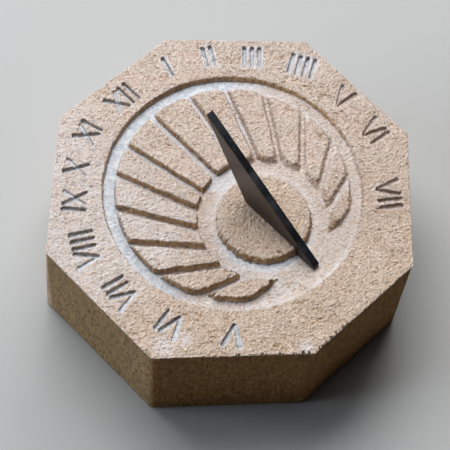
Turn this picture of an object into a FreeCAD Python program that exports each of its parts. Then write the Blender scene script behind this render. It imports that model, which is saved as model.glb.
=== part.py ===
import FreeCAD, Part
import math
import os

# Garden sundial: an octagonal block of sandstone with a carved dial and a metal gnomon plate.
# Millimetres. +Z is up, +Y is north (the noon line), +X is east. The origin is the middle of the
# underside. Bearings are in degrees from north, clockwise, so the morning hours are negative.

Vector = FreeCAD.Vector
UP = Vector(0, 0, 1)

# --- stone block ---------------------------------------------------------------------------
block_height = 78.0
# Each side was cut by hand: the bearing that it faces, and its distance from the middle at the
# top and at the foot. Only the north-west side leans, outwards towards its foot.
sides = [
    (2.2, 99.6, 99.6),
    (43.4, 99.6, 99.6),
    (90.7, 100.4, 100.4),
    (134.9, 100.2, 100.2),
    (180.6, 100.3, 100.3),
    (221.3, 98.5, 98.5),
    (270.2, 101.1, 101.1),
    (316.8, 100.1, 104.1),
]
arris_chamfer = 0.8
beyond_block = 200.0

# --- carved dial: a round sunk field with petals and a boss left standing in it -------------
carving_depth = 5.2
field_centre = Vector(1.4, 0.8, 0)
field_radius = 72.9
petal_outer_radius = 65.6
boss_centre = Vector(2.2, -22.8, 0)
boss_radius = 26.2
petal_inner_radius = 37.0
petal_corner_radius = 1.6
pointed_petals_end = 12.0
hour_root = Vector(1.4, -53.4, 0)
morning_bearings = [-11.8, -21.2, -31.6, -42.7, -55.3, -69.7]
afternoon_bearings = [11.8, 22.4, 33.5, 45.8, 59.2, 73.4]
hour_groove_width = 3.4
noon_groove_width = 4.4
noon_groove_x = 0.6

# --- chiselled numerals: label, bearing and distance from the point that they all face ----------
numeral_focus = Vector(1.4, -16.0, 0)
numerals = [
    ("V", -126.8, 76.7),
    ("VI", -102.6, 83.4),
    ("VII", -81.3, 88.9),
    ("VIII", -61.5, 96.3),
    ("IX", -44.4, 99.4),
    ("X", -32.4, 101.8),
    ("XI", -19.2, 104.6),
    ("XII", -2.9, 101.8),
    ("I", 15.8, 103.5),
    ("II", 29.7, 101.8),
    ("III", 44.0, 98.7),
    ("IIII", 61.2, 97.9),
    ("V", 79.7, 89.8),
    ("VI", 97.7, 86.2),
    ("VII", 126.3, 76.4),
]
numeral_height = 12.0
# The strokes are cut straight down and get narrower from their outer to their inner end.
stroke_outer_width = 2.6
stroke_inner_width = 1.8
stroke_depth = 2.5
# Each letter's strokes, as their place at the top and foot and their share of the full depth, and
# the width that the letter takes. One stroke of each V and X was only cut shallow.
letter_shapes = {
    "I": ([(0.0, 0.0, 1.0)], 4.4),
    "V": ([(-4.4, -0.3, 0.5), (4.4, 0.3, 1.0)], 10.2),
    "X": ([(-3.8, 3.8, 1.0), (3.8, -3.8, 0.5)], 9.4),
}

# --- gnomon plate ---------------------------------------------------------------------------
plate_thickness = 4.4
plate_x = 2.8
root_y = -63.6
root_nose = 2.6
step_gap = 0.4
heel_y = -10.0
apex_y = 23.8
apex_height = 54.0
apex_flat = 1.2
tang_thickness = 2.6
tang_width = 8.0
tang_depth = 18.0
tang_y = {"north": -18.0, "south": -39.0}
mortise_width = 3.8
mortise_gap = 1.0

# How far the cutting solids reach past the face that they cut.
overcut = 5.0


def from_bearing(bearing, distance):
    """The point at this bearing and distance from the middle of the block, in plan."""
    angle = math.radians(bearing)
    return Vector(math.sin(angle), math.cos(angle), 0) * distance


def corner_between(first, second):
    """Where two sides meet in plan, each given as the bearing that it faces and its distance."""
    (first_bearing, first_distance), (second_bearing, second_distance) = first, second
    a = from_bearing(first_bearing, 1)
    b = from_bearing(second_bearing, 1)
    across = a.x * b.y - a.y * b.x
    x = (first_distance * b.y - second_distance * a.y) / across
    y = (second_distance * a.x - first_distance * b.x) / across
    return Vector(x, y, 0)


def octagon(side_distances, height):
    """The eight-sided outline at this height, as a wire."""
    lines = [(side[0], distance) for side, distance in zip(sides, side_distances)]
    corners = [corner_between(lines[i - 1], lines[i]) + UP * height for i in range(len(lines))]
    return Part.makePolygon(corners + corners[:1])


def disc(centre, radius, bottom, height):
    return Part.makeCylinder(radius, height, Vector(centre.x, centre.y, bottom))


def is_level(edge):
    return abs(edge.tangentAt(edge.FirstParameter).z) < 0.5


def blank_block():
    """The eight-sided block, with its top and bottom arrises just taken off."""
    foot = octagon([side[2] for side in sides], 0)
    top = octagon([side[1] for side in sides], block_height)
    block = Part.makeLoft([foot, top], True, True)
    return block.makeChamfer(arris_chamfer, [edge for edge in block.Edges if is_level(edge)])


def groove(start, bearing, width, bottom):
    """A slot along an hour line, from the root past the rim of the petals."""
    length = field_radius * 2
    box = Part.makeBox(width, length, carving_depth + overcut, Vector(-width / 2, 0, bottom))
    box.rotate(Vector(0, 0, 0), UP, -bearing)
    box.translate(start)
    return box


def petals(bottom):
    """The raised petals: a lens-shaped ring cut through by the hour lines."""
    height = carving_depth + overcut
    ring = disc(field_centre, petal_outer_radius, bottom, height)
    ring = ring.cut(disc(boss_centre, petal_inner_radius, bottom - 1, height + 2))
    corner = Vector(-beyond_block, hour_root.y - beyond_block, bottom - 1)
    ring = ring.cut(Part.makeBox(2 * beyond_block, beyond_block, height + 2, corner))
    noon_start = Vector(noon_groove_x, hour_root.y, 0)
    cuts = [groove(noon_start, 0, noon_groove_width, bottom - 1)]
    for bearing in morning_bearings + afternoon_bearings:
        cuts.append(groove(hour_root, bearing, hour_groove_width, bottom - 1))
    return [rounded_petal(solid) for solid in ring.cut(cuts).Solids]


def rounded_petal(solid):
    """A petal with its upright corners rounded, except the thin pointed ones by the root."""
    if solid.CenterOfMass.y < hour_root.y + pointed_petals_end:
        return solid
    upright = [edge for edge in solid.Edges if not is_level(edge)]
    return solid.makeFillet(petal_corner_radius, upright)


def sunk_field():
    """The stone to take away: the round field without the petals and the boss."""
    bottom = block_height - carving_depth
    height = carving_depth + overcut
    field = disc(field_centre, field_radius, bottom, height)
    boss = disc(boss_centre, boss_radius, bottom, height)
    return field.cut([boss] + petals(bottom))


def stroke_cut(outer, inner, depth):
    """The stone that a chisel stroke takes out, from its outer to its inner end on the face."""
    along = (inner - outer).normalize()
    side = Vector(-along.y, along.x, 0)
    wide = side * (stroke_outer_width / 2)
    narrow = side * (stroke_inner_width / 2)
    outline = [outer - wide, inner - narrow, inner + narrow, outer + wide]
    outline = [corner - UP * depth for corner in outline]
    bottom = Part.Face(Part.makePolygon(outline + outline[:1]))
    return bottom.extrude(UP * (depth + overcut))


def numeral_strokes(label, bearing, distance):
    """The strokes of one numeral, with its top facing outwards."""
    outwards = from_bearing(bearing, 1)
    rightwards = Vector(outwards.y, -outwards.x, 0)
    middle = numeral_focus + outwards * distance + UP * block_height
    left = -sum(letter_shapes[letter][1] for letter in label) / 2
    strokes = []
    for letter in label:
        slants, width = letter_shapes[letter]
        for top, foot, deepness in slants:
            across = left + width / 2
            outer = middle + rightwards * (across + top) + outwards * (numeral_height / 2)
            inner = middle + rightwards * (across + foot) - outwards * (numeral_height / 2)
            strokes.append(stroke_cut(outer, inner, stroke_depth * deepness))
        left += width
    return strokes


def mortise(y):
    """The slot in the boss that takes one tang of the gnomon and its resin."""
    length = tang_width + 2 * mortise_gap
    depth = tang_depth + mortise_gap
    corner = Vector(plate_x - mortise_width / 2, y - length / 2, block_height - depth)
    return Part.makeBox(mortise_width, length, depth, corner)


def tang(y):
    corner = Vector(plate_x - tang_thickness / 2, y - tang_width / 2, block_height - tang_depth)
    return Part.makeBox(tang_thickness, tang_width, tang_depth, corner)


def dial_block():
    block = blank_block().cut(sunk_field())
    strokes = [s for numeral in numerals for s in numeral_strokes(*numeral)]
    return block.cut(strokes).cut([mortise(y) for y in tang_y.values()])


def gnomon():
    """The plate: its foot stands on the boss and steps down to the sunk field behind it."""
    floor = block_height - carving_depth
    step_y = boss_centre.y - boss_radius - step_gap
    profile = [
        (root_y, floor),
        (step_y, floor),
        (step_y, block_height),
        (heel_y, block_height),
        (apex_y, block_height + apex_height - apex_flat),
        (apex_y, block_height + apex_height),
        (root_y, floor + root_nose),
    ]
    west = plate_x - plate_thickness / 2
    outline = [Vector(west, y, z) for y, z in profile]
    plate = Part.Face(Part.makePolygon(outline + outline[:1])).extrude(Vector(plate_thickness, 0, 0))
    return plate.fuse([tang(y) for y in tang_y.values()]).removeSplitter()


def tang_resin(y):
    """The resin that fills a mortise round its tang."""
    return mortise(y).cut(tang(y))


def save(name, shape):
    print(name, "solids", len(shape.Solids), "valid", shape.isValid(), "mm3", round(shape.Volume))
    shape.exportStep("parts/%s.step" % name)


os.makedirs("parts", exist_ok=True)
save("dial_block", dial_block())
save("gnomon", gnomon())
for end, y in tang_y.items():
    save(end + "_tang_resin", tang_resin(y))
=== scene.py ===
import math

import bmesh
import bpy
import numpy as np
from mathutils import Matrix, Vector


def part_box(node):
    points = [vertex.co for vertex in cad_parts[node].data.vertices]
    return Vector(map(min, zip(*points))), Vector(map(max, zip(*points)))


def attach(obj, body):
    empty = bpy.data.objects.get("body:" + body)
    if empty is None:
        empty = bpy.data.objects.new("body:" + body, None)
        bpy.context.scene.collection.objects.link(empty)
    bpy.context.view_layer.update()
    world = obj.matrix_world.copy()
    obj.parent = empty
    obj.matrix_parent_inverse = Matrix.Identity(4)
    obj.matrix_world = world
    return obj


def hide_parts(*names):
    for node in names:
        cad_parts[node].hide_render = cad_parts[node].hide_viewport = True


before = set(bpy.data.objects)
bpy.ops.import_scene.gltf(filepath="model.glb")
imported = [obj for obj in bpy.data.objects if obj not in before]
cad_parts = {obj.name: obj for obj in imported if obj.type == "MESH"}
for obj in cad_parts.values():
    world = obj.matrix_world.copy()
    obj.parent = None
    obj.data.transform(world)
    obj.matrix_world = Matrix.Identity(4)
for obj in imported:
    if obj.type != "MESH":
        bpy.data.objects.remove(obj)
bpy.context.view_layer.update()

# Garden sundial. The stone block is one carved mesh and the gnomon one bevelled plate.
# Lengths are in millimetres here and turned into metres when a mesh is made.
# +Z is up, +Y is north (the noon line), +X is east. Bearings run clockwise from north.
MM = 0.001
block_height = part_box("dial_block")[1].z / MM

# --- stone block ---------------------------------------------------------------------------
# Each side: the bearing that it faces, and its distance from the middle at the top and the foot.
sides = np.array([
    (2.2, 99.6, 99.6),
    (43.4, 99.6, 99.6),
    (90.7, 100.4, 100.4),
    (134.9, 100.2, 100.2),
    (180.6, 100.3, 100.3),
    (221.3, 98.5, 98.5),
    (270.2, 101.1, 101.1),
    (316.8, 100.1, 104.1),
])
side_normals = np.stack([np.sin(np.radians(sides[:, 0])), np.cos(np.radians(sides[:, 0]))], axis=1)
corner_rounding = 1.6
chipped_bearing = 209
# How fine the mesh is: cells across the top, the height of a row of the sides, and the rings that
# close the underside, as shares of its outline.
top_cells = 520
side_row_height = 0.9
underside_rings = (0.985, 0.9, 0.7, 0.4, 0.12)

# --- carved dial ----------------------------------------------------------------------------
carving_depth = 5.2
# The floor rises by this many millimetres in the north, and loses this share of its depth in the
# shallow east.
northern_rise = 0.9
eastern_rise = 0.4
field_centre = (1.4, 0.8)
field_radius = 72.9
petal_outer_radius = 65.6
boss_centre = (2.2, -22.8)
boss_radius = 26.2
petal_inner_radius = 37.0
hour_root = (1.4, -53.4)
hour_bearings = [-11.8, -21.2, -31.6, -42.7, -55.3, -69.7, 11.8, 22.4, 33.5, 45.8, 59.2, 73.4]
hour_groove_width = 3.4
noon_groove_width = 4.4
noon_groove_x = 0.6
petal_corner_softness = 1.5
# A wall runs this far into the field from its top to its foot, its worn top edge starts this far
# outside it, and its slope is bent by this power. The mesh within this reach of a wall is crowded
# towards it by this power.
wall_run = 0.65
edge_wear = 0.3
wall_curve = 1.4
wall_reach = 2.0
wall_crowding = 1.7

# --- wear, colour, painted shade and painted highlight, by the bearing that a wall faces or that a place lies towards ---
tooling_bearing = 137
# The bearing that the light comes from: walls facing it are rubbed back more and get no painted
# shade.
light_bearing = 8
# Walls facing this bearing get limewash white as a painted highlight.
highlight_bearing = 35
# Walls facing this bearing, which the east light reaches, lose most of their painted shade.
east_lit_bearing = 85
shallow_bearing = 112
ochre_bearing = 200
# Walls and sides facing this bearing, away from the light, get the most painted shade.
shaded_bearing = 202
side_ochre = 0.3
# Rubbed-off limewash on the face by the worn corners: x, y and radius.
limewash_smears = [(-91, -42, 15), (-36, -94, 9), (-80, -46, 9)]

# --- numerals: label, bearing and distance from the point that they all face -----------------
numeral_focus = np.array([1.4, -16.0])
numerals = [
    ("V", -126.8, 76.7),
    ("VI", -102.6, 83.4),
    ("VII", -81.3, 88.9),
    ("VIII", -61.5, 96.3),
    ("IX", -44.4, 99.4),
    ("X", -32.4, 101.8),
    ("XI", -19.2, 104.6),
    ("XII", -2.9, 101.8),
    ("I", 15.8, 103.5),
    ("II", 29.7, 101.8),
    ("III", 44.0, 98.7),
    ("IIII", 61.2, 97.9),
    ("V", 79.7, 89.8),
    ("VI", 97.7, 86.2),
    ("VII", 126.3, 76.4),
]
numeral_height = 12.0
stroke_half_width = 1.2
stroke_depth = 2.5
stroke_wall = 0.4
stroke_reach = 0.9
stroke_crowding = 1.6
# Each letter's strokes, as their place at the top and foot and their share of the full depth, and
# the width that the letter takes. One stroke of each V and X was only cut shallow, but the
# easternmost numerals are cut more evenly.
letter_shapes = {
    "I": ([(0.0, 0.0, 1.0)], 4.4),
    "V": ([(-4.4, -0.3, 0.5), (4.4, 0.3, 1.0)], 10.2),
    "X": ([(-3.8, 3.8, 1.0), (3.8, -3.8, 0.5)], 9.4),
}
evenly_cut_depth = 0.85
evenly_cut_east_of = 60

# --- gnomon ---------------------------------------------------------------------------------
plate_thickness = 4.4
plate_x = 2.8
root_y = -63.6
root_nose = 2.6
step_gap = 0.4
step_y = boss_centre[1] - boss_radius - step_gap
heel_y = -10.0
apex_y = 23.8
apex_height = 54.0
apex_flat = 1.2
plate_bevel = 0.3
tang_thickness = 2.6
tang_width = 8.0
tang_depth = 18.0
tang_y = (-18.0, -39.0)
mortise_width = 3.8
mortise_gap = 1.0


# --- noise ----------------------------------------------------------------------------------
def lattice_hash(cells, seed):
    """A repeatable number from 0 to 1 for each whole-number cell of a 3-D grid. The large factors
    only scatter the bits."""
    c = cells.astype(np.int64)
    h = c[..., 0] * 374761393 + c[..., 1] * 668265263 + c[..., 2] * 2147483647 + seed * 1274126177
    h = (h ^ (h >> 13)) * 1103515245
    h = (h ^ (h >> 16)) & 0x7FFFFFFF
    return h / float(0x7FFFFFFF)


def value_noise(points, size, seed):
    """Smooth noise from -1 to 1, with bumps of this size."""
    p = points / size
    base = np.floor(p)
    f = p - base
    f = f * f * (3 - 2 * f)
    total = 0.0
    for dx in (0, 1):
        wx = f[..., 0] if dx else 1 - f[..., 0]
        for dy in (0, 1):
            wy = f[..., 1] if dy else 1 - f[..., 1]
            for dz in (0, 1):
                wz = f[..., 2] if dz else 1 - f[..., 2]
                total = total + wx * wy * wz * lattice_hash(base + (dx, dy, dz), seed)
    return total * 2 - 1


def fractal(points, size, octaves, seed):
    """Noise of several sizes added up, each half as large and half as strong as the last."""
    total, strength = 0.0, 1.0
    for octave in range(octaves):
        total = total + strength * value_noise(points, size / 2**octave, seed + octave)
        strength *= 0.5
    return total / 2


def pits(spots, cell, share, radius, seed):
    """How deep, from 0 to 1, each spot lies in a scatter of round pits: this share of the square
    cells holds one, of up to this radius."""
    base = np.floor(spots / cell)
    deepest = np.zeros(len(spots))
    for dx in (-1, 0, 1):
        for dy in (-1, 0, 1):
            c = at_height(base + (dx, dy), 0)
            drift = np.stack([lattice_hash(c, seed), lattice_hash(c, seed + 1)], axis=-1)
            size = 0.4 + 0.6 * lattice_hash(c, seed + 2)
            there = lattice_hash(c, seed + 3) < share
            d = np.linalg.norm(spots - (c[:, :2] + drift) * cell, axis=-1) / (radius * size)
            deepest = np.maximum(deepest, np.where(there, np.clip(1 - d * d, 0, 1) * size, 0))
    return deepest


def smoothstep(start, full, x):
    """0 at start, 1 at full and smooth between them, whichever of the two is larger."""
    t = np.clip((x - start) / (full - start), 0, 1)
    return t * t * (3 - 2 * t)


def smooth_max(a, b, softness):
    """The larger of the two, with the crease between them rounded."""
    h = np.clip(softness - np.abs(a - b), 0, None) / softness
    return np.maximum(a, b) + h * h * softness / 4


# --- plan shapes, as signed distances in millimetres ------------------------------------------
def at_height(p, z):
    """Points in plan as points in space, at this height or at a height each."""
    return np.column_stack([p, np.broadcast_to(z, len(p))])


def distance_from(p, centre):
    return np.hypot(p[:, 0] - centre[0], p[:, 1] - centre[1])


def from_bearing(bearing):
    """The unit direction in plan at this bearing."""
    angle = math.radians(bearing)
    return np.array([math.sin(angle), math.cos(angle)])


def bearing_gap(p, centre, bearing):
    """How many degrees lie between this bearing and each point's own, seen from the centre."""
    own = np.degrees(np.arctan2(p[:, 0] - centre[0], p[:, 1] - centre[1]))
    return np.abs((own - bearing + 180) % 360 - 180)


def outside_petals(p):
    """Distance to the nearest petal, negative inside one. Petals in the south-west and the east
    are worn rounder, and the eastern ones most at their inner ends."""
    south_west = smoothstep(-15, -40, p[:, 1]) * (p[:, 0] < 0)
    eastern = smoothstep(0, 15, p[:, 0])
    past_inner_end = distance_from(p, boss_centre) - petal_inner_radius
    inner_end = smoothstep(9, 3, past_inner_end)
    softness = petal_corner_softness * (1 + 1.8 * south_west + eastern * (0.8 + 0.9 * inner_end))
    gap = distance_from(p, field_centre) - petal_outer_radius
    gap = smooth_max(gap, -past_inner_end, softness)
    root_softness = softness * (0.33 + 1.1 * eastern + 0.5 * south_west)
    gap = smooth_max(gap, hour_root[1] - p[:, 1], root_softness)
    gap = smooth_max(gap, noon_groove_width / 2 - np.abs(p[:, 0] - noon_groove_x), softness)
    for bearing in hour_bearings:
        along = from_bearing(bearing)
        across = np.abs((p[:, 0] - hour_root[0]) * along[1] - (p[:, 1] - hour_root[1]) * along[0])
        gap = smooth_max(gap, hour_groove_width / 2 - across, softness)
    return gap


def sunk_distance(p):
    """How far inside the sunk field a point is, negative on the face, petals and boss. The walls
    wander a little, and those in the south-west are the most ragged."""
    rim = field_radius - distance_from(p, field_centre)
    boss = distance_from(p, boss_centre) - boss_radius
    inside = np.minimum(np.minimum(rim, boss), outside_petals(p))
    flat = at_height(p, 0)
    wavy = 0.2 * value_noise(flat, 7.0, 11)
    ragged = 0.14 * value_noise(flat, 2.2, 12) + 0.15 * value_noise(flat, 1.1, 13)
    rougher = smoothstep(5, -30, p[:, 1]) * (p[:, 0] < 0) + 0.25
    return inside + wavy + ragged * (1 + 1.6 * rougher)


def gradient(distance, p):
    """The unit direction in which this distance grows fastest at each point."""
    step = 0.05
    gx = distance(p + (step, 0)) - distance(p - (step, 0))
    gy = distance(p + (0, step)) - distance(p - (0, step))
    g = np.stack([gx, gy], axis=1)
    return g / np.maximum(np.linalg.norm(g, axis=1, keepdims=True), 1e-9)


def numeral_strokes():
    """Each chisel stroke of every numeral: its outer and inner end, and its share of the depth."""
    strokes = []
    for label, bearing, distance in numerals:
        outwards = from_bearing(bearing)
        rightwards = np.array([outwards[1], -outwards[0]])
        middle = numeral_focus + outwards * distance
        least_deep = evenly_cut_depth if middle[0] > evenly_cut_east_of else 0.0
        left = -sum(letter_shapes[letter][1] for letter in label) / 2
        for letter in label:
            slants, width = letter_shapes[letter]
            for top, foot, deepness in slants:
                across = left + width / 2
                start = middle + rightwards * (across + top) + outwards * numeral_height / 2
                end = middle + rightwards * (across + foot) - outwards * numeral_height / 2
                strokes.append((start, end, max(deepness, least_deep)))
            left += width
    return strokes


def squeeze(distance, band, power):
    """Draws distances inside the band towards 0, so that more of the mesh lies on a wall."""
    size = np.abs(distance)
    closer = band * (size / band) ** power
    return np.where(size < band, np.sign(distance) * closer, distance)


# --- the block's outline ---------------------------------------------------------------------
def outline_radius(directions, reach):
    """Distance from the middle to the octagon's edge along each unit direction."""
    least_facing = 0.2
    far_away = 1e9
    facing = directions @ side_normals.T
    distances = reach / np.maximum(facing, least_facing)
    return np.min(np.where(facing > least_facing, distances, far_away), axis=1)


def nearest_sides(p, reach):
    """Distance inwards to the nearest side and to the one after it, and which side is nearest."""
    inwards = reach - p @ side_normals.T
    order = np.sort(inwards, axis=1)
    return order[:, 0], order[:, 1], np.argmin(inwards, axis=1)


def arris_wear(p):
    """How much of the top edge is worn or chipped away, in millimetres, at points on it."""
    points = at_height(p, block_height)
    chipped_part = 0.15 + 0.85 * smoothstep(34, 12, bearing_gap(p, (0, 0), chipped_bearing))
    rough = np.clip(value_noise(points, 4.0, 31), 0, None) * 1.2
    bites = np.clip(value_noise(points, 3.2, 32) - 0.35, 0, None) * 7.5
    nicks = np.clip(value_noise(points, 1.1, 33) - 0.2, 0, None) * 3.0
    return 0.5 + 0.6 * rough + chipped_part * (0.4 * rough + bites + nicks)


def square_grid():
    """A square grid laid over the octagon: its vertices, their directions from the middle, and
    which of them are on its outer edge."""
    line = np.linspace(-1, 1, top_cells + 1)
    a, b = np.meshgrid(line, line, indexing="ij")
    square = np.stack([a.ravel(), b.ravel()], axis=1)
    ring = np.abs(square).max(axis=1)
    length = np.linalg.norm(square, axis=1)
    direction = square / np.maximum(length, 1e-9)[:, None]
    p = direction * (ring * outline_radius(direction, sides[:, 1]))[:, None]
    return p, direction, ring > 1 - 1e-6


# --- carving ------------------------------------------------------------------------------------
def carve_field(p, movable):
    """Draws vertices to the sunk field's walls. Gives the distance into the field, how much of a
    vertex is floor, the depth, how much raw stone with painted shade each vertex on a wall shows,
    and how much limewash with painted highlight."""
    wall_middle = (wall_run - edge_wear) / 2
    sunk = sunk_distance(p)
    near = np.flatnonzero((np.abs(sunk - wall_middle) < wall_reach) & movable)
    moved = squeeze(sunk[near] - wall_middle, wall_reach, wall_crowding) + wall_middle
    facing = gradient(sunk_distance, p[near])
    p[near] += facing * (moved - sunk[near])[:, None]
    sunk[near] = moved

    # How much each wall faces the light.
    facing_light = smoothstep(-0.1, 0.25, facing @ from_bearing(light_bearing))
    on_rim = distance_from(p[near], field_centre) > (petal_outer_radius + field_radius) / 2
    share = smoothstep(0, 1, (sunk + edge_wear) / (wall_run + edge_wear)) ** wall_curve
    share[near] = wall_share(p[near], moved, facing, facing_light, on_rim)
    deepest = carving_depth - northern_rise * smoothstep(-35, 45, p[:, 1])
    eastwards = (p - np.array(field_centre)) @ from_bearing(shallow_bearing)
    depth = share * deepest * (1 - eastern_rise * smoothstep(32, 66, eastwards))

    on_wall = 4 * (share * (1 - share))[near]
    there = at_height(p[near], -depth[near])
    rough = 0.16 * value_noise(there, 1.3, 21) + 0.1 * value_noise(there, 0.7, 22)
    p[near] += facing * (rough * on_wall)[:, None]
    raw_and_shade, wash_and_highlight = np.zeros(len(p)), np.zeros(len(p))
    # Painted shade: walls facing away from the light get raw stone's brown, for the shade they stand
    # in.
    raw_and_shade[near] = 0.7 * np.sqrt(np.clip(on_wall, 0, 1)) * (1 - facing_light)
    raw_and_shade[near] *= painted_shade_left(p[near], facing, on_rim)
    # Painted highlight: walls facing the light get limewash white.
    lit_walls = smoothstep(0.1, 0.6, facing @ from_bearing(highlight_bearing))
    wash_and_highlight[near] = 0.62 * lit_walls * smoothstep(-1.4, -0.7, moved)
    return sunk, share, depth, raw_and_shade, wash_and_highlight


def wall_share(q, sunk, facing, facing_light, on_rim):
    """How much of a vertex on a wall is floor. Walls facing the light and eastern walls, and the
    boss's wall that faces away from the light, are rubbed back further and slope more."""
    by_boss = smoothstep(3, 1, np.abs(distance_from(q, boss_centre) - boss_radius))
    run = wall_run + 0.9 * by_boss * smoothstep(0.3, 0.9, facing @ from_bearing(shaded_bearing))
    run += 0.5 * smoothstep(10, 30, q[:, 0]) * (1 - on_rim)
    rubbed = edge_wear + 0.7 * facing_light + 0.5 * smoothstep(0, 30, q[:, 0]) * (1 - facing_light)
    rubbed += 0.8 * (run - wall_run)
    return smoothstep(0, 1, (sunk + rubbed) / (run + rubbed)) ** wall_curve


def painted_shade_left(q, facing, on_rim):
    """How much painted shade a wall keeps: less where it faces east, and less in the north, at the
    rim's west and the petals' east."""
    east_lit = smoothstep(0.3, 0.9, facing @ from_bearing(east_lit_bearing))
    shade_lifted = np.where(on_rim, smoothstep(15, -40, q[:, 0]), smoothstep(-5, 25, q[:, 0]))
    shade_lifted = 0.45 * shade_lifted * smoothstep(-30, 10, q[:, 1])
    shade_lifted = np.maximum(shade_lifted, 0.7 * smoothstep(20, 34, q[:, 0]) * ~on_rim)
    return (1 - 0.9 * east_lit) * (1 - shade_lifted)


def carve_strokes(p):
    """Draws vertices to the walls of the numerals' chisel strokes. Gives the strokes' depth from 0
    to 1, how much raw stone with painted shade each vertex shows, and how much limewash, with
    painted highlight on the walls that face the light."""
    cut, raw_and_shade, wash_and_highlight = np.zeros(len(p)), np.zeros(len(p)), np.zeros(len(p))
    for start, end, deepness in numeral_strokes():
        near = np.flatnonzero(distance_from(p, (start + end) / 2) < numeral_height)
        q = p[near]
        inside, away, from_line = stroke_distance(q, start, end)
        moved = squeeze(inside - stroke_wall / 2, stroke_reach, stroke_crowding) + stroke_wall / 2
        close = (np.abs(inside - stroke_wall / 2) < stroke_reach) & (from_line > 0.3)
        q[close] -= (away * (moved - inside)[:, None])[close]
        p[near] = q
        inside = np.where(close, moved, inside)
        facing_light = smoothstep(-0.1, 0.5, -away @ from_bearing(light_bearing))
        wall = smoothstep(-0.5 * facing_light, stroke_wall * (1 + facing_light), inside)
        deep = deepness * (0.8 + 0.2 * smoothstep(0, 1, inside)) * wall
        cut[near] = np.maximum(cut[near], deep)
        # Painted shade: stroke walls facing away from the light show raw stone's dark brown.
        raw_and_shade[near] = np.maximum(raw_and_shade[near], 4 * wall * (1 - wall) * (1 - facing_light) * deepness**2)
        wash_and_highlight[near] = np.maximum(wash_and_highlight[near], stroke_wash_and_highlight(q, inside, facing_light))
    return cut, raw_and_shade, wash_and_highlight


def stroke_distance(q, start, end):
    """How far inside a tapering stroke each point is, the way out of it from there, and how far
    the point is from the stroke's middle line."""
    length = np.linalg.norm(end - start)
    along = (end - start) / length
    t = np.clip((q - start) @ along, 0, length)
    away = q - start - t[:, None] * along
    from_line = np.maximum(np.linalg.norm(away, axis=1), 1e-9)
    ragged = 0.16 * value_noise(np.column_stack([q, t]), 1.2, 25)
    inside = stroke_half_width * (1.15 - 0.4 * t / length) + ragged - from_line
    return inside, away / from_line[:, None], from_line


def stroke_wash_and_highlight(q, inside, facing_light):
    """How much limewash a stroke holds on its floor and round it, and limewash white as painted
    highlight on its wall that faces the light.
    """
    least_washed = smoothstep(60, 90, q[:, 0] - q[:, 1])
    on_floor = (0.85 - 0.5 * least_washed) * smoothstep(0.2, 0.6, inside)
    whitest = np.maximum(smoothstep(40, -20, q[:, 0]), smoothstep(5, 32, q[:, 1]))
    # Painted highlight: limewash white on the stroke wall that faces the light.
    on_wall = (0.25 + 0.6 * whitest) * facing_light * smoothstep(-0.6, -0.1, inside)
    most_smudged = smoothstep(95, 112, q[:, 0] + q[:, 1])
    smudge = (0.4 + 0.25 * most_smudged) * smoothstep(-2.6, -0.2, inside)
    return np.max([on_floor, on_wall, smudge], axis=0)


def grain_relief(p):
    """How far loose grains, tool marks and pits lower the face, and how much painted shade
    its pits and low places get.
    """
    flat = at_height(p, 0)
    along, across = p @ from_bearing(tooling_bearing), p @ from_bearing(tooling_bearing - 90)
    streaked = np.column_stack([along / 2.4, across, np.zeros(len(p))])
    relief = 0.14 * (fractal(flat, 26.0, 2, 41) + 1)
    relief += 0.18 * value_noise(streaked, 0.85, 42) + 0.26 * value_noise(flat, 0.62, 43)
    relief += 0.20 * value_noise(streaked, 3.4, 44) + 0.17 * value_noise(flat, 1.1, 45)
    sawn = smoothstep(-0.1, 0.5, value_noise(streaked, 22.0, 46))
    sawn = sawn * smoothstep(0, 70, p[:, 0] + p[:, 1])
    saw_pitch = 1.7
    saw_marks = np.sin(across * math.tau / saw_pitch + 1.5 * value_noise(flat, 30.0, 47))
    relief += 0.07 * sawn * saw_marks
    holes = np.maximum(pits(streaked[:, :2], 3.4, 0.35, 0.75, 51), 0.7 * pits(p, 2.1, 0.4, 0.5, 55))
    holes = np.maximum(holes, 1.4 * pits(streaked[:, :2], 14.0, 0.35, 1.1, 59))
    # Painted shade for the pits and the low places of the relief.
    hollow_shade = np.clip(0.5 * holes + 1.1 * (relief - 0.14), 0, 1)
    return relief + 0.5 * holes + 0.35, hollow_shade


def limewash_share(p, floor):
    """How much limewash is left, from 0 to 1: most in the ring's west and north, least east."""
    in_ring = smoothstep(-2.5, 0.5, distance_from(p, field_centre) - petal_outer_radius)
    in_ring *= 1 - 0.6 * smoothstep(62, 100, bearing_gap(p, field_centre, -32))
    from_boss = distance_from(p, boss_centre) - boss_radius
    by_boss = smoothstep(petal_inner_radius - boss_radius + 3, 2, from_boss)
    by_boss *= 0.52 + 0.3 * smoothstep(90, 30, bearing_gap(p, boss_centre, -140))
    in_north_grooves = 0.72 * smoothstep(68, 44, bearing_gap(p, field_centre, 8))
    in_east_grooves = 0.38 * smoothstep(10, 30, p[:, 0])
    in_south_west_grooves = 0.55 * smoothstep(-15, -35, p[:, 1]) * smoothstep(0, -20, p[:, 0])
    in_grooves = np.max([in_north_grooves, in_east_grooves, in_south_west_grooves], axis=0)
    open_floor = 0.45 * smoothstep(-35, -50, p[:, 1])
    kept = np.max([in_ring, by_boss, in_grooves, open_floor], axis=0)
    least = 0.08 + 0.2 * smoothstep(25, -10, p[:, 0])
    return np.maximum(kept, least) * smoothstep(0.8, 0.99, floor)


def face_ochre(p, depth):
    """How ochre the stone of the top is, from 0 to 1: most in the south and on the boss."""
    southern = p @ from_bearing(ochre_bearing) + 12 * fractal(at_height(p, depth), 30.0, 2, 61)
    on_boss = smoothstep(boss_radius, boss_radius - 6, distance_from(p, boss_centre))
    return np.maximum(0.5 * smoothstep(-30, 85, southern), 0.55 * on_boss)


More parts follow.
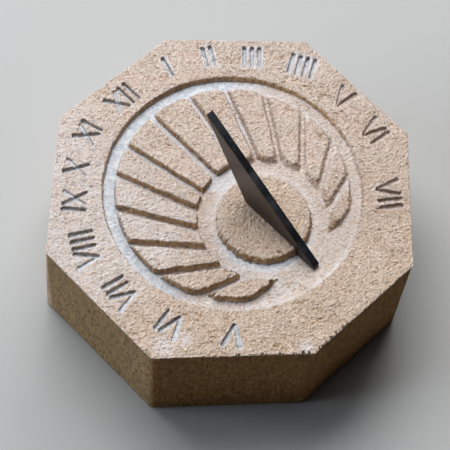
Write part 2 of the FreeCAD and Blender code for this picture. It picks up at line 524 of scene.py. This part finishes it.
def top_surface():
    """The carved top: its vertices, and what the material needs to know about each."""
    p, direction, on_edge = square_grid()
    in_field = ~on_edge & (distance_from(p, field_centre) < field_radius + 4)
    sunk, floor_share, depth, raw_and_shade, lit_wall_highlight = carve_field(p, in_field)
    cut, stroke_raw_and_shade, stroke_limewash_and_highlight = carve_strokes(p)
    wash_and_highlight = np.max([limewash_share(p, floor_share), lit_wall_highlight, stroke_limewash_and_highlight], axis=0)
    for x, y, radius in limewash_smears:
        wash_and_highlight = np.maximum(wash_and_highlight, 0.6 * smoothstep(radius, 0, distance_from(p, (x, y))))
    rubbed_on = 0.46 * smoothstep(15, -50, p[:, 0]) * smoothstep(-35, 5, p[:, 1])
    wash_and_highlight = np.maximum(wash_and_highlight, rubbed_on * smoothstep(0.2, -0.4, sunk))
    relief, hollow_shade = grain_relief(p)
    relief *= 1 - 0.5 * smoothstep(0, 1, sunk)
    depth = np.maximum(depth, stroke_depth * cut) + np.clip(relief, 0, None)

    edge, _, _ = nearest_sides(p, sides[:, 1])
    wear = arris_wear(p + direction * edge[:, None])
    unworn = smoothstep(1.0, 0.6, wear)
    # Painted highlight: limewash white along the unchipped top edge, where it catches the light.
    wash_and_highlight = np.maximum(wash_and_highlight, 0.4 * smoothstep(1.6, 0.6, edge) * unworn)
    worn = np.clip(1 - edge / wear, 0, 1)
    depth = depth + (0.5 + 0.7 * smoothstep(1.0, 2.0, wear)) * wear * worn
    p = p - direction * (0.4 * wear * worn)[:, None]

    p, slot_depth = cut_mortises(p)
    vertices = at_height(p, block_height - np.maximum(depth, slot_depth))
    raw_and_shade = np.maximum(raw_and_shade, stroke_raw_and_shade)
    return vertices, {"wash_and_highlight": wash_and_highlight, "raw_and_shade": raw_and_shade, "hollow_shade": hollow_shade, "ochre": face_ochre(p, depth)}


def cut_mortises(p):
    """The two slots for the gnomon's tangs: the vertices by their walls are drawn up to them."""
    from_wall = 0.03
    reach = 0.4
    depth = np.zeros(len(p))
    for y in tang_y:
        offset = p - (plate_x, y)
        half = np.array([mortise_width / 2, tang_width / 2 + mortise_gap])
        inside = half - np.abs(offset)
        nearest = np.argmin(inside, axis=1)
        gap = inside.min(axis=1)
        target = np.where(gap > 0, from_wall, -from_wall)
        by_wall = np.flatnonzero((np.abs(gap) < reach) & (inside.max(axis=1) > -reach))
        axis = nearest[by_wall]
        p[by_wall, axis] -= np.sign(offset[by_wall, axis]) * (target - gap)[by_wall]
        depth = np.where(gap > 0, tang_depth + mortise_gap, depth)
    return p, depth


# --- the block's mesh -------------------------------------------------------------------------
def edge_loop():
    """The top grid's outermost vertices in order round the block, as their indices."""
    n = top_cells
    row = n + 1
    loop = [i * row for i in range(n)]
    loop += [n * row + j for j in range(n)]
    loop += [i * row + n for i in range(n, 0, -1)]
    loop += list(range(n, 0, -1))
    return np.array(loop)


def side_surface(edge):
    """Rows of vertices down the sides, under the top's edge vertices, and how pitted each is."""
    directions = edge[:, :2] / np.linalg.norm(edge[:, :2], axis=1, keepdims=True)
    steps = np.linalg.norm(edge[:, :2] - np.roll(edge[:, :2], 1, axis=0), axis=1)
    around = np.cumsum(steps)
    rows = int(block_height / side_row_height)
    made = []
    for k in range(1, rows + 1):
        down = k / rows
        z = edge[:, 2] * (1 - down)
        reach = sides[:, 1] + (sides[:, 2] - sides[:, 1]) * down
        p = directions * outline_radius(directions, reach)[:, None]
        _, from_corner, _ = nearest_sides(p, reach)
        on_side = np.column_stack([around, z])
        holes = np.maximum(pits(on_side, 4.6, 0.5, 1.0, 81), 1.4 * pits(on_side, 13.0, 0.35, 1.5, 85))
        inset = side_inset(at_height(p, z), from_corner, holes)
        made.append((at_height(p - directions * inset[:, None], z), holes))
    return made


def side_inset(points, from_corner, holes):
    """How far the sides are set in by worn corners, tool marks, pits, and the worn top and foot."""
    p, z = points[:, :2], points[:, 2]
    inset = 0.35 * corner_rounding * np.clip(1 - from_corner / corner_rounding, 0, 1) ** 2
    inset = inset + 0.1 * (value_noise(points * (1, 1, 0.15), 2.4, 71) + 1)
    inset = inset + 0.1 * value_noise(points, 1.7, 72) + 0.12 * value_noise(points, 3.4, 73)
    inset = inset + 0.15 * (fractal(points, 30.0, 2, 74) + 1) + 0.15
    inset = np.clip(inset, 0, None) + 0.5 * holes
    wear = arris_wear(p)
    inset = inset + 0.4 * wear * np.clip(1 - (block_height - z) / (wear * 1.5), 0, 1)
    foot_wear = 0.5 + np.clip(value_noise(points, 5.0, 91), 0, 1)
    return inset + foot_wear * np.clip(1 - z / 1.2, 0, 1)


def side_facts(points, holes):
    """What the material needs to know about each vertex of the sides and the underside."""
    facing = side_normals[nearest_sides(points[:, :2], sides[:, 1])[2]]
    # Painted shade: sides facing away from the light get the most of raw stone's dark umber; the top
    # 2 mm under the edge gets less, as a painted highlight on the arris.
    raw_and_shade = 0.36 + 0.64 * smoothstep(-0.4, 0.68, facing @ from_bearing(shaded_bearing))
    raw_and_shade *= 0.3 + 0.7 * smoothstep(0, 2, block_height - points[:, 2])
    ochre = np.full(len(points), side_ochre)
    return {"wash_and_highlight": np.zeros(len(points)), "raw_and_shade": raw_and_shade, "hollow_shade": holes, "ochre": ochre}


def stone_faces(top_count, row_count):
    """The quads of the top grid and of the rows under its edge, and one face to close the last."""
    i, j = np.meshgrid(np.arange(top_cells), np.arange(top_cells), indexing="ij")
    next_row = top_cells + 1
    corner = (i * next_row + j).ravel()
    faces = [np.stack([corner, corner + next_row, corner + next_row + 1, corner + 1], axis=1)]
    above = edge_loop()
    for k in range(row_count):
        below = top_count + k * len(above) + np.arange(len(above))
        faces.append(np.stack([np.roll(above, -1), above, below, np.roll(below, -1)], axis=1))
        above = below
    return np.concatenate(faces).tolist() + [above[::-1].tolist()]


def stone_mesh():
    """Top grid, side rows and underside, joined into one closed mesh."""
    top, top_facts = top_surface()
    rows = side_surface(top[edge_loop()])
    foot = rows[-1][0]
    rows += [(foot * (share, share, 0), np.zeros(len(foot))) for share in underside_rings]
    lower = np.concatenate([points for points, _ in rows])
    lower_facts = side_facts(lower, np.concatenate([holes for _, holes in rows]))
    mesh = bpy.data.meshes.new("carved_stone")
    vertices = np.concatenate([top, lower]) * MM
    mesh.from_pydata(vertices.tolist(), [], stone_faces(len(top), len(rows)))
    mesh.polygons.foreach_set("use_smooth", np.ones(len(mesh.polygons), dtype=bool))
    for name in top_facts:
        values = np.concatenate([top_facts[name], lower_facts[name]])
        layer = mesh.attributes.new(name, "FLOAT", "POINT")
        layer.data.foreach_set("value", values.astype(np.float32))
    mesh.update()
    return mesh


# --- node helpers -----------------------------------------------------------------------------
def new_material(name):
    material = bpy.data.materials.new(name)
    material.use_nodes = True
    nodes = material.node_tree.nodes
    nodes.clear()
    output = nodes.new("ShaderNodeOutputMaterial")
    shader = nodes.new("ShaderNodeBsdfPrincipled")
    material.node_tree.links.new(shader.outputs[0], output.inputs[0])
    return material, shader


class Graph:
    """Short calls for the nodes that the materials share. Textures lie in object space."""

    def __init__(self, material):
        self.tree = material.node_tree
        coordinates = self.tree.nodes.new("ShaderNodeTexCoord")
        self.place = coordinates.outputs["Object"]

    def link(self, value, socket):
        """Feeds a socket from another one, or sets it to a number or a colour."""
        if isinstance(value, bpy.types.NodeSocket):
            self.tree.links.new(value, socket)
        else:
            socket.default_value = value

    def noise(self, scale, detail, roughness, stretch=None):
        node = self.tree.nodes.new("ShaderNodeTexNoise")
        node.inputs["Scale"].default_value = scale
        node.inputs["Detail"].default_value = detail
        node.inputs["Roughness"].default_value = roughness
        self.link(self.stretched(stretch) if stretch else self.place, node.inputs["Vector"])
        return node.outputs["Fac"]

    def stretched(self, factors):
        node = self.tree.nodes.new("ShaderNodeMapping")
        node.inputs["Scale"].default_value = factors
        self.link(self.place, node.inputs["Vector"])
        return node.outputs[0]

    def cell_shade(self, scale):
        """A random shade for each cell of a Voronoi pattern."""
        node = self.tree.nodes.new("ShaderNodeTexVoronoi")
        node.inputs["Scale"].default_value = scale
        self.link(self.place, node.inputs["Vector"])
        return node.outputs["Color"]

    def math(self, operation, *values):
        node = self.tree.nodes.new("ShaderNodeMath")
        node.operation = operation
        for value, socket in zip(values, node.inputs):
            self.link(value, socket)
        return node.outputs[0]

    def remap(self, value, start, full, at_start=0.0, at_full=1.0):
        """A smooth change from at_start to at_full as the value goes from start to full."""
        node = self.tree.nodes.new("ShaderNodeMapRange")
        node.interpolation_type = "SMOOTHSTEP"
        for socket, number in zip(node.inputs[1:5], (start, full, at_start, at_full)):
            socket.default_value = number
        self.link(value, node.inputs[0])
        return node.outputs[0]

    def mix(self, share, first, second):
        """The first colour, with this share of the second one mixed in."""
        node = self.tree.nodes.new("ShaderNodeMix")
        node.data_type = "RGBA"
        self.link(share, node.inputs["Factor"])
        self.link(first, node.inputs[6])
        self.link(second, node.inputs[7])
        return node.outputs[2]

    def attribute(self, name):
        node = self.tree.nodes.new("ShaderNodeAttribute")
        node.attribute_name = name
        return node.outputs["Fac"]

    def height(self):
        """The height above the ground, in metres."""
        node = self.tree.nodes.new("ShaderNodeSeparateXYZ")
        self.link(self.place, node.inputs[0])
        return node.outputs["Z"]

    def bump(self, height, strength, distance, normal=None):
        node = self.tree.nodes.new("ShaderNodeBump")
        node.inputs["Strength"].default_value = strength
        node.inputs["Distance"].default_value = distance
        self.link(height, node.inputs["Height"])
        if normal is not None:
            self.link(normal, node.inputs["Normal"])
        return node.outputs[0]


def rgb(r, g, b):
    return (r, g, b, 1.0)


# --- materials ----------------------------------------------------------------------------------
buff = rgb(0.61, 0.49, 0.415)
pale_buff = rgb(0.655, 0.525, 0.455)
yellow_buff = rgb(0.64, 0.55, 0.455)
pink = rgb(0.64, 0.47, 0.385)
ochre = rgb(0.62, 0.46, 0.325)
pale_grain = rgb(0.80, 0.70, 0.61)
dark_grain = rgb(0.36, 0.25, 0.16)
clod_highlight = rgb(0.84, 0.735, 0.66)
clod_shade = rgb(0.36, 0.26, 0.195)
dark_speck = rgb(0.26, 0.17, 0.11)
pit_shade = rgb(0.34, 0.205, 0.11)
shade_umber = rgb(0.37, 0.165, 0.035)
pale_shade_umber = rgb(0.42, 0.21, 0.055)
half_shade_umber = rgb(0.41, 0.26, 0.12)
orange_ochre = rgb(0.64, 0.37, 0.17)
chisel_highlight_ochre = rgb(0.64, 0.39, 0.17)
chisel_shade_brown = rgb(0.15, 0.08, 0.03)
thick_limewash = rgb(0.68, 0.69, 0.71)
grey_limewash = rgb(0.50, 0.53, 0.59)
thin_limewash = rgb(0.69, 0.645, 0.64)
brown_bronze = rgb(0.085, 0.072, 0.062)
lit_bronze = rgb(0.15, 0.128, 0.11)
dull_bronze = rgb(0.05, 0.045, 0.042)
foot_shade_bronze = rgb(0.045, 0.03, 0.021)
dark_sky_reflection = rgb(0.035, 0.04, 0.05)
pale_sky_reflection = rgb(0.11, 0.118, 0.135)
dark_resin = rgb(0.2, 0.16, 0.12)
pale_resin = rgb(0.36, 0.3, 0.24)
dark_floor = rgb(0.36, 0.36, 0.355)
pale_floor = rgb(0.40, 0.40, 0.395)


def bare_stone(g, broad, grain, clods):
    """Buff and pink stone with pale and dark grains, clods with painted highlight and shade, specks,
    and pits and low places in painted shade.
    """
    patch = g.noise(110.0, 4.0, 0.6)
    colour = g.mix(g.remap(broad, 0.35, 0.65), buff, pale_buff)
    colour = g.mix(g.remap(patch, 0.45, 0.68, 0.0, 0.7), colour, pink)
    colour = g.mix(g.remap(patch, 0.46, 0.30, 0.0, 0.6), colour, yellow_buff)
    colour = g.mix(g.remap(grain, 0.50, 0.72, 0.0, 0.7), colour, pale_grain)
    colour = g.mix(g.remap(grain, 0.45, 0.30, 0.0, 0.6), colour, dark_grain)
    colour = g.mix(g.attribute("ochre"), colour, ochre)
    # Painted highlight and shade on the clods: the noise that raises them as bumps makes their high
    # parts paler and low parts darker.
    colour = g.mix(g.remap(clods, 0.53, 0.66, 0.0, 0.4), colour, clod_highlight)
    colour = g.mix(g.remap(clods, 0.48, 0.34, 0.0, 0.35), colour, clod_shade)
    colour = g.mix(g.remap(g.cell_shade(1300.0), 0.0, 0.10, 0.6, 0.0), colour, dark_speck)
    # Painted shade in pits and low places of the grain relief.
    return g.mix(g.remap(g.attribute("hollow_shade"), 0.05, 0.6, 0.0, 0.8), colour, pit_shade)


def shaded_raw_stone(g, broad, raw_and_shade, chiselled):
    """Stone as it was cut, ochre where a little shows, and painted shade of dark umber where all
    does.
    """
    colour = g.mix(g.remap(broad, 0.35, 0.65), shade_umber, pale_shade_umber)
    colour = g.mix(g.remap(raw_and_shade, 0.86, 0.98), half_shade_umber, colour)
    colour = g.mix(g.remap(raw_and_shade, 0.7, 0.86), orange_ochre, colour)
    # Painted highlight and shade on the chisel marks: the noise that makes their bumps makes high
    # parts paler ochre and low parts dark brown.
    colour = g.mix(g.remap(chiselled, 0.51, 0.64, 0.0, 0.6), colour, chisel_highlight_ochre)
    return g.mix(g.remap(chiselled, 0.48, 0.36, 0.0, 0.75), colour, chisel_shade_brown)


def limewashed(g, colour, wash_and_highlight):
    """The colour under a limewash, which is worn through in patches where it is thin. Part of the
    limewash is a painted highlight on lit walls and edges, laid on the same way.
    """
    wear = g.math("SUBTRACT", g.noise(300.0, 5.0, 0.65), 0.5)
    cover = g.remap(g.math("ADD", wear, wash_and_highlight), 0.15, 0.85)
    limewash = g.mix(g.remap(wear, -0.12, 0.12), grey_limewash, thick_limewash)
    limewash = g.mix(g.remap(wash_and_highlight, 0.6, 0.85), thin_limewash, limewash)
    return g.mix(cover, colour, limewash)


def sandstone():
    """Buff and pink sandstone with loose grains, pits and worn limewash in what is carved, with
    painted shade on pits, shaded walls and sides, and painted highlight on lit walls and edges.
    """
    material, shader = new_material("sandstone_limewashed")
    g = Graph(material)
    broad = g.noise(14.0, 4.0, 0.55)
    grain = g.noise(850.0, 3.0, 0.6)
    clods = g.noise(640.0, 3.0, 0.55)
    chiselled = g.noise(520.0, 4.0, 0.7, (1.0, 1.0, 0.4))
    raw_and_shade = g.attribute("raw_and_shade")
    wash_and_highlight = g.attribute("wash_and_highlight")
    colour = bare_stone(g, broad, grain, clods)
    shaded_cut_stone = shaded_raw_stone(g, broad, raw_and_shade, chiselled)
    # Painted shade: raw stone in shade is laid over the walls and sides.
    colour = g.mix(g.remap(raw_and_shade, 0.0, 0.8, 0.0, 0.95), colour, shaded_cut_stone)
    g.link(limewashed(g, colour, wash_and_highlight), shader.inputs["Base Color"])
    g.link(g.remap(grain, 0.3, 0.7, 0.98, 0.82), shader.inputs["Roughness"])
    shader.inputs["Specular IOR Level"].default_value = 0.25
    cut_marks = g.bump(g.math("MULTIPLY", chiselled, raw_and_shade), 1.0, 0.0026)
    clods_left = g.math("MULTIPLY", clods, g.remap(wash_and_highlight, 0.2, 0.9, 1.0, 0.45))
    coarse = g.bump(clods_left, 1.0, 0.0017, cut_marks)
    fine = g.bump(g.noise(1150.0, 3.0, 0.6), 1.0, 0.0012, coarse)
    g.link(fine, shader.inputs["Normal"])
    return material


def dark_bronze():
    """Dark brown bronze with fine scratches, with painted shade near its foot and a painted blue sky
    reflection on the style.
    """
    material, shader = new_material("dark_bronze_patina")
    g = Graph(material)
    cloud = g.noise(60.0, 4.0, 0.6)
    fine = g.noise(600.0, 3.0, 0.6)
    scratch = g.noise(500.0, 3.0, 0.6, (1.0, 0.12, 1.0))
    colour = g.mix(g.remap(cloud, 0.3, 0.7), brown_bronze, lit_bronze)
    colour = g.mix(g.remap(fine, 0.35, 0.7, 0.0, 0.5), colour, dull_bronze)
    # Painted shade: darker towards the foot.
    colour = g.mix(g.remap(g.height(), 0.104, 0.080, 0.0, 0.75), colour, foot_shade_bronze)
    # Painted reflection: a blue sky reflection on the upward faces of the style.
    sky_reflection = g.mix(g.remap(cloud, 0.35, 0.65), dark_sky_reflection, pale_sky_reflection)
    colour = g.mix(g.attribute("style"), colour, sky_reflection)
    g.link(colour, shader.inputs["Base Color"])
    shader.inputs["Metallic"].default_value = 0.8
    g.link(g.remap(cloud, 0.3, 0.7, 0.34, 0.5), shader.inputs["Roughness"])
    g.link(g.bump(scratch, 0.25, 0.0002), shader.inputs["Normal"])
    return material


def setting_resin():
    """Sand-filled resin, the colour of wet stone."""
    material, shader = new_material("sand_filled_resin")
    g = Graph(material)
    sand = g.noise(800.0, 3.0, 0.6)
    g.link(g.mix(sand, dark_resin, pale_resin), shader.inputs["Base Color"])
    g.link(g.remap(sand, 0.3, 0.7, 0.5, 0.8), shader.inputs["Roughness"])
    g.link(g.bump(sand, 0.4, 0.0002), shader.inputs["Normal"])
    return material


def studio_floor():
    material, shader = new_material("pale_floor")
    g = Graph(material)
    colour = g.mix(g.noise(6.0, 3.0, 0.5), dark_floor, pale_floor)
    g.link(colour, shader.inputs["Base Color"])
    shader.inputs["Roughness"].default_value = 0.85
    return material


# --- pieces -------------------------------------------------------------------------------------
def add_object(name, mesh, material):
    piece = bpy.data.objects.new(name, mesh)
    bpy.context.scene.collection.objects.link(piece)
    mesh.materials.append(material)
    return piece


def carved_block(material):
    piece = add_object("carved_dial_block", stone_mesh(), material)
    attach(piece, "root")
    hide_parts("dial_block")


def plate_mesh():
    """The gnomon's plate, standing on the boss, with the two thinner tangs under its foot."""
    west, east = plate_x - plate_thickness / 2, plate_x + plate_thickness / 2
    tang_west, tang_east = plate_x - tang_thickness / 2, plate_x + tang_thickness / 2
    top, field_floor = block_height, block_height - carving_depth
    low = top - tang_depth
    tang_lines = [y + side * tang_width / 2 for y in sorted(tang_y) for side in (-1, 1)]
    outline = [(root_y, field_floor), (step_y, field_floor), (step_y, top)]
    outline += [(y, top) for y in tang_lines]
    outline += [(heel_y, top), (apex_y, top + apex_height - apex_flat), (apex_y, top + apex_height)]
    outline += [(root_y, field_floor + root_nose)]

    bm = bmesh.new()
    made = {}

    def corner(x, y, z):
        if (x, y, z) not in made:
            made[x, y, z] = bm.verts.new((x * MM, y * MM, z * MM))
        return made[x, y, z]

    def add_face(points):
        bm.faces.new([corner(*point) for point in points])

    def add_tang(y, next_y):
        """A tang between these lines, and the strips of the foot on both sides of it."""
        add_face([(west, y, top), (tang_west, y, top), (tang_west, next_y, top), (west, next_y, top)])
        add_face([(tang_east, y, top), (east, y, top), (east, next_y, top), (tang_east, next_y, top)])
        ring = [(tang_west, y), (tang_west, next_y), (tang_east, next_y), (tang_east, y)]
        for a, b in zip(ring, ring[1:] + ring[:1]):
            add_face([(*a, top), (*b, top), (*b, low), (*a, low)])
        add_face([(*a, low) for a in ring])

    def foot_end(y):
        """The foot's corners on this line, from west to east. A tang's end adds two."""
        return [west, east] if y in (step_y, heel_y) else [west, tang_west, tang_east, east]

    add_face([(west, y, z) for y, z in outline])
    add_face([(east, y, z) for y, z in reversed(outline)])
    for (y, z), (next_y, next_z) in zip(outline, outline[1:] + outline[:1]):
        if z != top or next_z != top:
            add_face([(west, next_y, next_z), (west, y, z), (east, y, z), (east, next_y, next_z)])
    foot_lines = [step_y] + tang_lines + [heel_y]
    for k, (y, next_y) in enumerate(zip(foot_lines, foot_lines[1:])):
        if k % 2:
            add_tang(y, next_y)
        else:
            near_end = [(x, y, top) for x in foot_end(y)]
            far_end = [(x, next_y, top) for x in reversed(foot_end(next_y))]
            add_face(near_end + far_end)
    bmesh.ops.recalc_face_normals(bm, faces=bm.faces)
    mesh = bpy.data.meshes.new("gnomon_plate")
    bm.to_mesh(mesh)
    bm.free()
    # The upward faces, the style, are marked for the painted blue sky reflection.
    on_style = np.array([polygon.normal.z > 0.5 for polygon in mesh.polygons], dtype=np.float32)
    mesh.attributes.new("style", "FLOAT", "FACE").data.foreach_set("value", on_style)
    return mesh


def gnomon_plate(material):
    piece = add_object("gnomon_plate", plate_mesh(), material)
    bevel = piece.modifiers.new("worn_edges", "BEVEL")
    bevel.width = plate_bevel * MM
    bevel.segments = 3
    bevel.limit_method = "ANGLE"
    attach(piece, "root")
    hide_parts("gnomon")


def tang_resins(material):
    """The two CAD solids of resin keep their shape and get a better material."""
    for node in ("north_tang_resin", "south_tang_resin"):
        for material_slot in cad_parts[node].material_slots:
            material_slot.material = material


def floor(material):
    bpy.ops.mesh.primitive_grid_add(x_subdivisions=8, y_subdivisions=8, size=6, location=(0, 0, 0))
    piece = bpy.context.object
    piece.name = "studio_floor"
    piece.data.materials.append(material)


# --- camera and light -----------------------------------------------------------------------------
camera_azimuth = -49.58
camera_elevation = 63.69
camera_roll = 5.94
camera_distance = 883.4
camera_aim = (-17.6, -12.4, block_height)
daylight = (0.98, 0.99, 1.0)
blue_light = (0.76, 0.88, 1.0)
warm_light = rgb(1.0, 0.85, 0.68)
# Each lamp: its bearing and height from the dial in degrees, its distance and size in metres, its
# power and its tint.
lamps = {
    "window": (16, 60, 1.6, (1.1, 0.9), 28.5, daylight),
    "east_window": (60, 42, 1.7, (0.8, 0.8), 14, daylight),
    "high_window": (20, 78, 1.8, (1.4, 1.0), 5.5, daylight),
    "left_fill": (-50, 16, 1.8, (0.8, 0.6), 18, blue_light),
}
room_light = 0.012


def camera():
    """A long lens from high in the south-west, as a person leans over the dial to read it."""
    azimuth, elevation = math.radians(camera_azimuth), math.radians(camera_elevation)
    roll = math.radians(camera_roll)
    level = Vector((math.sin(azimuth), -math.cos(azimuth), 0))
    back = level * math.cos(elevation) + Vector((0, 0, math.sin(elevation)))
    level_right = (-back).cross(Vector((0, 0, 1))).normalized()
    level_up = level_right.cross(-back)
    right = level_right * math.cos(roll) + level_up * math.sin(roll)
    up = level_up * math.cos(roll) - level_right * math.sin(roll)
    data = bpy.data.cameras.new("camera")
    data.sensor_width = 36.0
    data.lens = 128.2
    data.clip_start = 0.01
    piece = bpy.data.objects.new("camera", data)
    bpy.context.scene.collection.objects.link(piece)
    turn = Matrix((right, up, back)).transposed().to_4x4()
    place = Vector(camera_aim) + back * camera_distance
    piece.matrix_world = Matrix.Translation(place * MM) @ turn
    bpy.context.scene.camera = piece


def area_light(name, bearing, elevation, distance, size, power, tint):
    """A soft lamp at this bearing and height above the dial, turned to face it."""
    data = bpy.data.lights.new(name, "AREA")
    data.shape = "RECTANGLE"
    data.size, data.size_y = size
    data.energy = power
    data.color = tint
    piece = bpy.data.objects.new(name, data)
    bpy.context.scene.collection.objects.link(piece)
    flat = from_bearing(bearing) * math.cos(math.radians(elevation))
    towards = Vector((flat[0], flat[1], math.sin(math.radians(elevation))))
    piece.location = towards * distance + Vector((0, 0, block_height * MM))
    piece.rotation_mode = "QUATERNION"
    piece.rotation_quaternion = towards.to_track_quat("Z", "Y")


def lighting():
    """The lamps, and a faint warm light from all round."""
    for name, settings in lamps.items():
        area_light(name, *settings)
    world = bpy.data.worlds.new("studio")
    bpy.context.scene.world = world
    world.use_nodes = True
    background = world.node_tree.nodes["Background"]
    background.inputs["Color"].default_value = warm_light
    background.inputs["Strength"].default_value = room_light
    bpy.context.scene.view_settings.view_transform = "Standard"


carved_block(sandstone())
gnomon_plate(dark_bronze())
tang_resins(setting_resin())
floor(studio_floor())
camera()
lighting()
